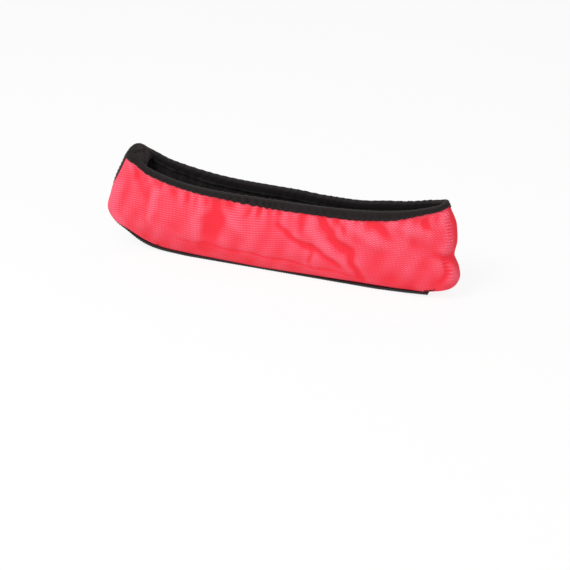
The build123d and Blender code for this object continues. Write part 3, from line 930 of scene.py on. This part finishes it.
def binding_waves(side, x):
    """The binding's gathers at x: deep slow ones and fine ones."""
    turn = 0.0 if side == FRONT else 2.4
    ruffled = np.exp(-((x + 15) / 20) ** 4) if side == FRONT else 0.55 + 0.45 * np.sin(x / 14.0)
    wander = 1.6 * np.sin(x / 11 + turn) + 1.1 * np.sin(x / 5.3 + 2 * turn)
    calm = 1 - 0.7 * ease(108, 120, x)
    wave = np.sin(2 * np.pi * (x + wander) / GATHER_PITCH + turn) * (0.45 + 0.75 * ruffled) * calm
    bunched = 3 * np.sin(x / 7 + turn)
    fine = np.sin(2 * np.pi * x / FINE_GATHER_PITCH + bunched) * (0.4 + 0.6 * ruffled) * calm
    return wave, fine


def binding_depth(side, x):
    """Height of the binding's outer leg at x."""
    depth = BINDING_DEPTH - 2.4 * ease(82, 114, x)
    if side == FRONT:
        depth = depth - 2.3 * ease(-116, -104, x) * ease(8, -72, x)
        depth = depth + 0.5 * ease(28, 45, x) * ease(88, 70, x)
    return depth


def toe_lid(face, rim, share):
    """The binding's inner leg at the toe, bunched over the mouth, and the height of its creases."""
    x = face[:, 0] + 8.0 * share**1.5
    y = face[:, 1] * (1 - 1.08 * share)
    crease = 0.40 * np.sin(0.95 * x + 1.9 * y) + 0.30 * np.sin(2.6 * y - 0.7 * x)
    crease = crease + 0.18 * np.sin(3.1 * x + 1.2 * y)
    z = rim[:, 2] + 1.1 - 0.9 * share**2 + crease * math.sin(math.pi * min(share, 0.9)) ** 0.5
    return np.stack([x, y, z], -1), crease


def binding_profile(side, s):
    """The binding's outer face at shares s: up the outside, over the rim and down the inside.

    Each place carries its painted shade and highlight, deeper in the gathers' valleys and paler on their
    crowns, along the crest and on the toe's lid, and its share of black, which on the rear is painted shade
    from the crest on.
    """
    sizes = bpy.context.scene.cover_sizes
    proud, inside = sizes.binding_proud / MM, -(LINING_DEPTH + BINDING_PAST_LINING)
    gather = sizes.binding_gather / MM
    rim, out = below_rim(side, s, 0.0, 0.0)
    lower, _out = below_rim(side, s, 2.0, 0.0)
    up = (rim - lower) / np.linalg.norm(rim - lower, axis=-1, keepdims=True)
    x = rim[:, 0]
    wave, fine = binding_waves(side, x)
    depth = binding_depth(side, x)
    lid = ease(LID_FROM, LID_TO, x)
    columns, shades, black = [], [], []

    def add(place, shade, inner):
        columns.append(place)
        shades.append(shade)
        black.append(inner)

    # Up the outside, with the ruffles deepest at the free edge
    for share in np.linspace(1, 0.16, OUTER_COLUMNS):
        edge = share**3 * 0.30 * (wave + 0.35 * fine)
        face, away = below_rim(side, s, depth * share + edge, proud)
        push = gather * (wave * (0.35 + 0.65 * math.sin(math.pi * share * 0.8 + 0.3)) + 0.3 * fine)
        # Painted highlight on the gathers' crowns and painted shade in their valleys
        add(face + away * push[:, None], push / gather, 0 * x)
    middle, reach = (proud + inside) / 2, (proud - inside) / 2
    # The binding turns to the lining's black on its inner face; on the rear it turns black from the crest
    # on, painted shade over the far rim, except at the heel end
    turn_in = (0.5, 2.0) if side == REAR else (2.2, 2.9)
    bare_heel = ease(116, 108, x * (side == REAR))
    # Over the rim
    for angle in np.linspace(0, np.pi, RIM_COLUMNS):
        arch = math.sin(angle) ** 0.7
        arch = arch + (1 - arch) * lid * (angle > np.pi / 2)
        rise = (1.15 + gather * (0.75 * wave + 0.45 * fine)) * arch
        place = rim + out * (middle + reach * math.cos(angle)) + up * rise[:, None]
        # Painted highlight on the gathers' crowns and painted shade in their valleys, and paler along the
        # crest
        shade = 0.6 * wave + 0.4 * fine + 0.9 * math.sin(angle)
        add(place, shade, ease(*turn_in, angle) * (1 - lid) * bare_heel)
    # Down the inside, or across the mouth where the lid closes it
    for share in np.linspace(0.1, 1, INNER_COLUMNS):
        edge = share**3 * 0.5 * (wave - 0.35 * fine)
        flare = 0.6 * float(ease(0.5, 1.0, share))
        face, away = below_rim(side, s, BINDING_DEPTH * share + edge, inside + flare)
        push = gather * (-wave * 0.35 + 0.15 * fine)
        bunched, crease = toe_lid(face, rim, share)
        place = (face - away * push[:, None]) * (1 - lid[:, None]) + bunched * lid[:, None]
        # The inner face takes painted shade and highlight from its gathers; the toe's lid is not black, and
        # takes a strong painted highlight with painted highlight and shade over its creases
        add(place, push / gather * (1 - lid) + (4.0 + 2.4 * crease) * lid, 1 - lid)
    values = np.stack([np.stack(shades, 1), np.stack(black, 1)], -1)
    return np.concatenate([np.stack(columns, 1), values], -1)


def half_breadth(x, z):
    """The body's half breadth at x and z: nothing outside its outline."""
    inside = (x > read_at(z, TOE_X)) & (x < read_at(z, HEEL_X)) & (z > HEIGHTS[0])
    return np.where(inside, half_ring(share_at(x, z), z)[1], 0.0)


def sole_line(step):
    """The middle line of the sole in x and z, from the webbing's heel end forward and up the toe.

    Returns the length along it, the line and the inward direction at every step.
    """
    heel_x = BODY_LENGTH / 2 - WEBBING_HEEL_GAP
    heel_z = np.linspace(HEIGHTS[3], HEIGHTS[0], 400)
    heel = np.stack([read_at(heel_z, HEEL_X), heel_z], -1)
    heel = heel[heel[:, 0] < heel_x]
    toe_z = np.linspace(HEIGHTS[0], rim_height(-118.0) - BINDING_DEPTH + 1.0, 1500)
    toe = np.stack([read_at(toe_z, TOE_X), toe_z], -1)
    line = np.concatenate([[[heel_x, np.interp(heel_x, heel[::-1, 0], heel[::-1, 1])]], heel, toe])
    lengths = np.concatenate([[0], np.cumsum(np.linalg.norm(np.diff(line, axis=0), axis=-1))])
    at = np.arange(0, lengths[-1], step)
    line = np.stack([np.interp(at, lengths, line[:, 0]), np.interp(at, lengths, line[:, 1])], -1)
    line = smoothed(line, 30)
    way = np.gradient(line, axis=0)
    way /= np.linalg.norm(way, axis=-1, keepdims=True)
    return at, line, np.stack([way[:, 1], -way[:, 0]], -1)


def strip_places(at, line, inward, across):
    """Where a strip along the sole line touches the body, at each share across its half width."""
    x0, z0 = line[:, 0], line[:, 1]
    turn = np.full(len(at), WEBBING_TURN)
    body = half_breadth(x0 + inward[:, 0] * turn, z0 + inward[:, 1] * turn)
    breadth = np.where(z0 > HEIGHTS[0] + 0.3, body, 99)
    half = smoothed(np.minimum(WEBBING_WIDTH / 2, breadth * (1 - 0.14 * ease(40, 62, z0))), 20)
    y = half[:, None] * np.abs(across)[None, :]

    def misses(sunk):
        return half_breadth(x0[:, None] + inward[:, :1] * sunk, z0[:, None] + inward[:, 1:] * sunk) < y

    # Flat under the sole, and bent round the body up the toe and the heel
    sunk = halved(np.zeros_like(y), np.full_like(y, WEBBING_TURN + 1.5), misses, 14)
    sunk = smoothed(sunk * ease(HEIGHTS[0] + 2.0, HEIGHTS[0] + 14.0, z0)[:, None], 30)
    return np.stack([
        x0[:, None] + inward[:, :1] * sunk,
        y * np.sign(across)[None, :],
        z0[:, None] + inward[:, 1:] * sunk,
    ], -1)


def outward_of(places):
    """Outward unit directions over a strip's places."""
    out = np.cross(np.gradient(places, axis=0), np.gradient(places, axis=1))
    return out / (np.linalg.norm(out, axis=-1, keepdims=True) + 1e-12)


def webbing_thickness(at):
    """The webbing's thickness at each place; the binding presses it flatter at the toe."""
    return WEBBING_THICKNESS * (1 - 0.4 * ease(14, 32, at[..., 2]))


def webbing_faces():
    """Places round the webbing's section at every station, its ribs and the teeth of its edges worked in.

    Returns the length along the webbing at each station, and the places.
    """
    sizes = bpy.context.scene.cover_sizes
    at, line, inward = sole_line(WEBBING_STATION)
    shares = np.sin(np.linspace(-np.pi / 2, np.pi / 2, 15) * 0.96) / math.sin(math.pi / 2 * 0.96)
    base = strip_places(at, line, inward, shares)
    out = outward_of(base)
    rib = np.sin(2 * np.pi * at * MM / sizes.rib_pitch)
    tooth = sizes.rib_tooth / MM * np.clip(1.5 * rib, -1, 1)
    edge = np.abs(shares) ** WEBBING_TOOTH_POWER * np.sign(shares)
    base[..., 1] += tooth[:, None] * edge[None, :]
    thick = webbing_thickness(base) * (1 - 0.10 * np.abs(shares) ** 12)
    relief = 0.14 * np.abs(rib)[:, None] ** 0.7 - 0.19
    outer = base + out * (WEBBING_SEAT + thick + relief)[..., None]
    outer[..., 2] = np.maximum(outer[..., 2], 0.0)
    inner = base + out * (WEBBING_SEAT + 0.12 * np.abs(shares) ** 12)[None, :, None]
    return at, np.concatenate([outer, inner[:, ::-1]], axis=1)


def webbing_line(y):
    """A line of places on the webbing's face at y from its middle, pressed in under the sole."""
    at, line, inward = sole_line(LINE_STATION)
    base = strip_places(at, line, inward, np.array([-1, -0.5, 0, 0.5, 1]) * abs(y) / (WEBBING_WIDTH / 2))
    proud = 0.02 - 0.22 * ease(HEIGHTS[0] + 14.0, HEIGHTS[0] + 2.0, base[..., 2])
    face = base + outward_of(base) * (webbing_thickness(base) + proud)[..., None]
    return face[:, 0 if y < 0 else -1]


def webbing_tack(station):
    """The zigzag of thread across the webbing at a station of its line."""
    at, line, inward = sole_line(LINE_STATION)
    across = np.linspace(-1, 1, WEBBING_TACK_THREADS) * TACK_SPAN
    base = strip_places(at, line, inward, across)
    face = base + outward_of(base) * (webbing_thickness(base) + WEBBING_SEAT)[..., None]
    near, far = face[[station - 1, station + 2]]
    return np.where((np.arange(len(across)) % 2 == 0)[:, None], near, far)


def binding_tack():
    """The zigzag of thread where the binding's ends meet at the heel."""
    places = []
    for i, drop in enumerate(np.linspace(BINDING_TACK_TOP, BINDING_TACK_FOOT, BINDING_TACK_THREADS)):
        z = rim_height(RIM_HEEL_X) - drop
        place, _push = skin(FRONT if i % 2 else REAR, np.array([BINDING_TACK_SHARE]), np.array([z]), 0.60)
        places.append(place[0])
    return np.array(places)


# Sizes and colours


def length_property(label, use, value):
    """A length that a maker would change, in metres."""
    return bpy.props.FloatProperty(
        name=label, description=use, default=value, unit="LENGTH", subtype="DISTANCE", precision=5
    )


class CoverSizes(bpy.types.PropertyGroup):
    """Sizes that a maker would change."""

    fold_depth: bpy.props.FloatProperty(
        name="Fold depth", description="Share of the folds' full depth",
        default=1.0, min=0, max=1.6, subtype="FACTOR",
    )
    gather_depth: length_property("Gather depth", "Depth of the puckers below the binding", 0.00042)
    binding_proud: length_property("Binding proud", "How far the binding stands out from the shell", 0.00075)
    binding_gather: length_property("Binding gather", "Depth of the binding's ruffles", 0.00036)
    rib_pitch: length_property("Rib pitch", "Spacing of the webbing's ribs", 0.0020)
    rib_tooth: length_property("Rib tooth", "How far each rib stands out at the webbing's edge", 0.00032)
    stitch_pitch: length_property("Stitch pitch", "Spacing of the threads in a row of stitches", 0.0036)
    stitch_length: length_property("Stitch length", "Length of each thread in a row of stitches", 0.0024)
    thread: length_property("Thread", "Thickness of the sewing thread", 0.00045)
    loop_density: bpy.props.FloatProperty(
        name="Loop density", description="Terry loops to a square metre", default=330000.0, min=1000
    )


def colour_property(label, use, value):
    """A colour that a maker would change."""
    return bpy.props.FloatVectorProperty(
        name=label, description=use, default=value, size=3, min=0, max=1, subtype="COLOR"
    )


class CoverColours(bpy.types.PropertyGroup):
    """Colours that a maker would change."""

    # The shell's deep red is its painted shade in the folds and between the threads and its deeper random
    # patches; its pale red is its painted highlight on the crowns and its paler patches; its glint is a
    # painted highlight on the threads
    shell_deep_and_shaded: colour_property("Shell, deep", "Red of the shell in its folds", (0.87, 0.022, 0.040))
    shell_pale_and_lit: colour_property("Shell, pale", "Red of the shell on its crowns", (0.91, 0.080, 0.132))
    shell_glint: colour_property("Shell, glint", "Light caught on the shell's threads", (0.93, 0.29, 0.42))
    terry_black: colour_property("Terry", "Black of the terry lining", (0.0098, 0.0076, 0.0080))
    binding_charcoal: colour_property("Binding", "Charcoal of the mouth's binding", (0.0094, 0.0071, 0.0073))
    webbing_black: colour_property("Webbing", "Black of the sole's webbing", (0.012, 0.010, 0.010))
    strip_grey: colour_property("Sole strip", "Grey of the strip inside the sole", (0.10, 0.10, 0.11))
    elastic_black: colour_property("Elastic", "Black of the elastic inside the binding", (0.02, 0.02, 0.02))
    dark_thread: colour_property("Dark thread", "Thread of binding and webbing", (0.009, 0.0075, 0.008))
    red_thread: colour_property("Red thread", "Thread of the shell", (0.80, 0.03, 0.05))


# Operators


class COVER_OT_shell(bpy.types.Operator):
    """Makes the red shell's two sides, with their folds"""

    bl_idname = "cover.make_shell"
    bl_label = "Shell"

    def execute(self, context):
        material = shell_material()
        shares = even_shares(SHELL_GRID[0])[:, None]
        for side, word in ((FRONT, "front"), (REAR, "rear")):
            places, push, lengths = wall_grid(side, SHELL_DROP, 0.0, SHELL_GRID)
            z = places[..., 2]
            # Painted shade where the heel turns away from the light, darker towards the sole, and ribs just
            # before the turn painted as pale and dark stripes of light and shade
            heel_shade = ease(0.957, 0.985, shares) * ease(13, 24, z)
            shades = fold_shade(push) - 0.9 * heel_shade - 0.3 * ease(24, 10, z)
            ribbed = ease(0.925, 0.945, shares) * ease(0.968, 0.957, shares) * ease(14, 20, z)
            piece = grid_object(
                f"{word}_shell", places, flip=side == REAR, lengths=lengths, fold=shades, ribbed=ribbed
            )
            thickened(piece, SHELL_THICKNESS)
            settle(piece, [f"{word}_side_panel"], material)
        return {"FINISHED"}


class COVER_OT_lining(bpy.types.Operator):
    """Makes the terry lining's two sides and their loops"""

    bl_idname = "cover.make_lining"
    bl_label = "Lining"

    def execute(self, context):
        sizes = context.scene.cover_sizes
        material = terry_material()
        loops = loop_tool("terry loops", material)
        for side, word, seed in ((FRONT, "front", LOOP_SEEDS[0]), (REAR, "rear", LOOP_SEEDS[1])):
            places, _push, lengths = wall_grid(side, TERRY_DROP, TERRY_LIFT, TERRY_GRID)
            piece = grid_object(f"{word}_terry", places, flip=side == REAR, lengths=lengths)
            thickened(piece, TERRY_THICKNESS)
            settle(piece, [f"{word}_lining"], material)
            places, _push, lengths = wall_grid(side, LOOP_DROP, LOOP_LIFT, LOOP_GRID)
            face = grid_object(f"{word}_face", places, flip=side == FRONT, lengths=lengths)
            tufts = made_plain(f"{word}_terry_loops", face, loops, Density=sizes.loop_density, Seed=seed)
            settle(tufts, [])
        return {"FINISHED"}


class COVER_OT_reinforcement(bpy.types.Operator):
    """Makes the strip that stiffens the sole, between the shell and the lining"""

    bl_idname = "cover.make_reinforcement"
    bl_label = "Sole strip"

    def execute(self, context):
        x = np.linspace(-STRIP_REACH, STRIP_REACH, STRIP_COLUMNS)
        z = np.linspace(HEIGHTS[0], REINFORCEMENT_HEIGHT, STRIP_ROWS)[None, :] + 0 * x[:, None]
        s = share_at(x, 8.0 + 0 * x)[:, None] + 0 * z
        front, rear = (skin(side, s, z, STRIP_LIFT)[0] for side in (FRONT, REAR))
        piece = grid_object("sole_strip", np.concatenate([front[:, ::-1], rear], axis=1))
        thickened(piece, STRIP_THICKNESS)
        grey = plain_cloth_material("grey felted strip", context.scene.cover_colours.strip_grey, 900.0)
        settle(piece, ["sole_reinforcement"], grey)
        return {"FINISHED"}


class COVER_OT_webbing(bpy.types.Operator):
    """Makes the ribbed webbing along the sole and up the toe"""

    bl_idname = "cover.make_webbing"
    bl_label = "Webbing"

    def execute(self, context):
        at, loop = webbing_faces()
        around = run_lengths(loop, 1)
        lengths = np.stack([around, at[:, None] + 0 * around], -1)
        piece = grid_object("ribbed_webbing", loop, closed=(False, True), caps=True, lengths=lengths)
        settle(piece, ["sole_webbing"], webbing_material())
        return {"FINISHED"}


class COVER_OT_binding(bpy.types.Operator):
    """Makes the gathered binding round the mouth and the elastic inside it"""

    bl_idname = "cover.make_binding"
    bl_label = "Binding"

    def execute(self, context):
        grid = round_mouth(MOUTH_COLUMNS, binding_profile)
        # fold carries the binding's painted shade and highlight, and inside its share of black, painted
        # shade on the rear crest
        piece = grid_object(
            "gathered_binding", grid[..., :3], closed=(True, False), fold=grid[..., 3], inside=grid[..., 4]
        )
        thickened(piece, BINDING_THICKNESS)
        settle(piece, ["mouth_binding"], binding_material())

        def elastic_band(side, s):
            drops = np.linspace(ELASTIC_TOP, ELASTIC_FOOT, 5)
            return np.stack([below_rim(side, s, drop, ELASTIC_LIFT)[0] for drop in drops], 1)

        places = round_mouth(ELASTIC_COLUMNS, elastic_band)
        band = grid_object("rim_elastic", places, closed=(True, False), flip=True)
        thickened(band, ELASTIC_THICKNESS)
        black = plain_cloth_material("black elastic", context.scene.cover_colours.elastic_black, 700.0)
        settle(band, ["mouth_elastic"], black)
        return {"FINISHED"}


class COVER_OT_stitching(bpy.types.Operator):
    """Sews the rows of stitches and the end tacks"""

    bl_idname = "cover.make_stitching"
    bl_label = "Stitching"

    def execute(self, context):
        sizes = context.scene.cover_sizes
        colours = context.scene.cover_colours
        dark = thread_material("dark thread", colours.dark_thread)
        red = thread_material("red thread", colours.red_thread)
        black = thread_material("black thread", toned(colours.terry_black, 0.6))
        dark_rows = thread_tool("dark stitches", dark)
        black_rows = thread_tool("black stitches", black)
        red_rows = thread_tool("red stitches", red)

        def sew(name, line, node, tool, closed=False):
            piece = made_plain(
                name, curve_through([line], closed=closed), tool,
                Pitch=sizes.stitch_pitch, Length=sizes.stitch_length, Thickness=sizes.thread,
            )
            settle(piece, [node])

        def binding_row(column):
            return round_mouth(MOUTH_COLUMNS, lambda side, s: binding_profile(side, s)[:, column, :3])

        outer, inner = binding_row(OUTER_STITCH_COLUMN), binding_row(INNER_STITCH_COLUMN)
        sew("outer_binding_stitches", outer, "binding_outer_stitches", dark_rows, True)
        sew("inner_binding_stitches", inner, "binding_inner_stitches", black_rows, True)
        for side, word in ((FRONT, "front"), (REAR, "rear")):
            line = webbing_line(side * (WEBBING_WIDTH / 2 - STITCH_INSET))[8:-8]
            sew(f"{word}_webbing_row", line, f"webbing_{word}_stitches", dark_rows)
            x = np.linspace(-1, 1, 400) * (STRIP_REACH - STRIP_ROW_INSET)
            z = REINFORCEMENT_HEIGHT - STRIP_ROW_DROP + 0 * x
            line, _push = skin(side, share_at(x, z), z, 0.08)
            sew(f"{word}_strip_row", line, f"reinforcement_{word}_stitches", red_rows)
        for name, node, places in (
            ("heel_end_tack", "webbing_heel_tack", webbing_tack(HEEL_TACK_STATION)),
            ("toe_end_tack", "webbing_toe_tack", webbing_tack(TOE_TACK_STATION)),
            ("binding_end_tack", "binding_heel_tack", binding_tack()),
        ):
            piece = made_plain(name, curve_through([places], thickness=sizes.thread / MM))
            settle(piece, [node], dark)
        return {"FINISHED"}


class COVER_OT_stage(bpy.types.Operator):
    """Sets the floor, the room's light and the lamps"""

    bl_idname = "cover.set_stage"
    bl_label = "Stage"

    def execute(self, context):
        scene = context.scene
        scene.view_settings.view_transform = "Standard"
        mesh = bpy.data.meshes.new("floor")
        corners = [(x * FLOOR_HALF, y * FLOOR_HALF, 0) for x, y in ((-1, -1), (1, -1), (1, 1), (-1, 1))]
        mesh.from_pydata(corners, [], [(0, 1, 2, 3)])
        floor = linked("floor", mesh)
        material, tree, shader = new_material("pale floor")
        shader.inputs["Base Color"].default_value = (0.9, 0.9, 0.9, 1)
        shader.inputs["Roughness"].default_value = 0.9
        glow = tree.nodes.new("ShaderNodeEmission")
        glow.inputs["Color"].default_value = (1, 1, 1, 1)
        share = maths(tree, "MULTIPLY", plainly_seen(tree), FLOOR_WHITE)
        blended(tree, share, shader, glow, "Material Output")
        mesh.materials.append(material)

        world = bpy.data.worlds.new("soft room")
        scene.world = world
        world.use_nodes = True
        tree = world.node_tree
        wash = tree.nodes["Background"]
        wash.inputs["Strength"].default_value = ROOM_LIGHT
        white = tree.nodes.new("ShaderNodeBackground")
        for background in (wash, white):
            background.inputs["Color"].default_value = (1, 1, 1, 1)
        blended(tree, plainly_seen(tree), wash, white, "World Output")

        for name, place, size, power in LAMPS:
            light = bpy.data.lights.new(name, "AREA")
            light.size = size
            light.energy = power
            lamp = linked(name, light)
            lamp.location = place
            lamp.rotation_euler = (LAMP_AIM - Vector(place)).to_track_quat("-Z", "Y").to_euler()
        return {"FINISHED"}


class COVER_OT_camera(bpy.types.Operator):
    """Sets the camera"""

    bl_idname = "cover.set_camera"
    bl_label = "Camera"

    def execute(self, context):
        data = bpy.data.cameras.new("camera")
        data.sensor_width = SENSOR_WIDTH
        data.lens = SENSOR_WIDTH * FOCAL_PIXELS / PICTURE_PIXELS
        camera = linked("camera", data)
        camera.location = CAMERA_PLACE
        level = math.cos(CAMERA_ELEVATION)
        back = Vector((
            level * math.sin(CAMERA_AZIMUTH), -level * math.cos(CAMERA_AZIMUTH), math.sin(CAMERA_ELEVATION)
        ))
        camera.rotation_euler = (-back).to_track_quat("-Z", "Y").to_euler()
        context.scene.camera = camera
        return {"FINISHED"}


STEPS = (
    COVER_OT_camera,
    COVER_OT_shell,
    COVER_OT_lining,
    COVER_OT_reinforcement,
    COVER_OT_webbing,
    COVER_OT_binding,
    COVER_OT_stitching,
    COVER_OT_stage,
)


class COVER_PT_panel(bpy.types.Panel):
    """The cover's sizes, colours and steps"""

    bl_label = "Blade Cover"
    bl_idname = "COVER_PT_panel"
    bl_space_type = "VIEW_3D"
    bl_region_type = "UI"
    bl_category = "Blade Cover"

    def draw(self, context):
        for group in (context.scene.cover_sizes, context.scene.cover_colours):
            column = self.layout.column()
            for name in group.__annotations__:
                column.prop(group, name)
        for step in STEPS:
            self.layout.operator(step.bl_idname)


CLASSES = (CoverSizes, CoverColours, *STEPS, COVER_PT_panel)


def register():
    for kind in CLASSES:
        bpy.utils.register_class(kind)
    bpy.types.Scene.cover_sizes = bpy.props.PointerProperty(type=CoverSizes)
    bpy.types.Scene.cover_colours = bpy.props.PointerProperty(type=CoverColours)


def unregister():
    del bpy.types.Scene.cover_colours
    del bpy.types.Scene.cover_sizes
    for kind in reversed(CLASSES):
        bpy.utils.unregister_class(kind)


def main():
    register()
    for step in STEPS:
        family, name = step.bl_idname.split(".")
        getattr(getattr(bpy.ops, family), name)()


if __name__ == "__main__":
    main()
